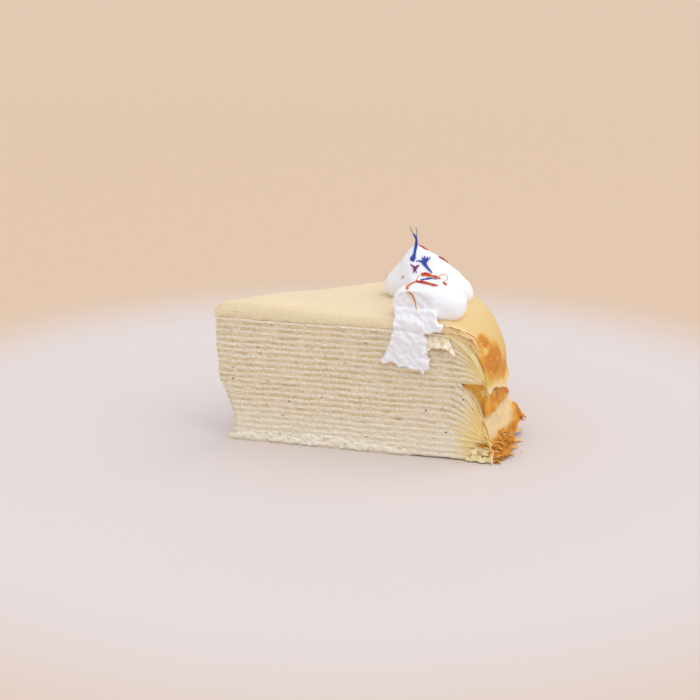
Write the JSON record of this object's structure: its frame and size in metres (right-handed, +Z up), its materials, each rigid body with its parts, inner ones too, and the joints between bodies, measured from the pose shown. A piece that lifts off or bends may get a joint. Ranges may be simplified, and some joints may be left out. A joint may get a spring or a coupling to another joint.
{
  "type": "crepe cake slice",
  "caption": "Slice of layered crepe cake with pastry cream fillings, a folded golden top crepe, browned ragged crepe edges and a whipped cream dollop with edible petals.",
  "frame": {"origin": "on the flat underside, on the slice's centre line, half way between its tip and the nominal rim", "axes": "+Z up, +X from the tip towards the rounded rim, the whipped cream's smear on the cut face that looks towards -Y"},
  "size_m": [0.1304, 0.0908, 0.0863],
  "materials": {
    "crepe": "soft matt cut edge of a thin pan-fried crepe",
    "pastry_cream": "matt, slightly grainy cream",
    "golden_top": "smooth satin crepe surface, golden at the rim",
    "browned_crepe": "satin, blotched brown, crisp at the hem",
    "whipped_cream": "soft satin white",
    "blue_petal": "matt dried petal",
    "red_petal": "matt dried petal with orange ends",
    "vanilla_seed": "matt dark specks"
  },
  "bodies": {
    "root": {"crepe_01": "crepe", "cream_01": "pastry_cream", "crepe_02": "crepe", "cream_02": "pastry_cream", "crepe_03": "crepe", "cream_03": "pastry_cream", "crepe_04": "crepe", "cream_04": "pastry_cream", "crepe_05": "crepe", "cream_05": "pastry_cream", "crepe_06": "crepe", "cream_06": "pastry_cream", "crepe_07": "crepe", "cream_07": "pastry_cream", "crepe_08": "crepe", "cream_08": "pastry_cream", "crepe_09": "crepe", "cream_09": "pastry_cream", "crepe_10": "crepe", "cream_10": "pastry_cream", "crepe_11": "crepe", "cream_11": "pastry_cream", "crepe_12": "crepe", "cream_12": "pastry_cream", "crepe_13": "crepe", "cream_13": "pastry_cream", "crepe_14": "crepe", "cream_14": "pastry_cream", "crepe_15": "crepe", "cream_15": "pastry_cream", "crepe_16": "crepe", "cream_16": "pastry_cream", "crepe_17": "crepe", "cream_17": "pastry_cream", "crepe_18": "crepe", "cream_18": "pastry_cream", "crepe_19": "crepe", "cream_19": "pastry_cream", "crepe_20": "crepe", "cream_20": "pastry_cream", "crepe_21": "crepe", "cream_21": "pastry_cream", "top_crepe": "golden_top", "middle_crepe_edge": "browned_crepe", "lower_crepe_edge": "browned_crepe", "whipped_cream": "whipped_cream"}
  },
  "joints": []
}
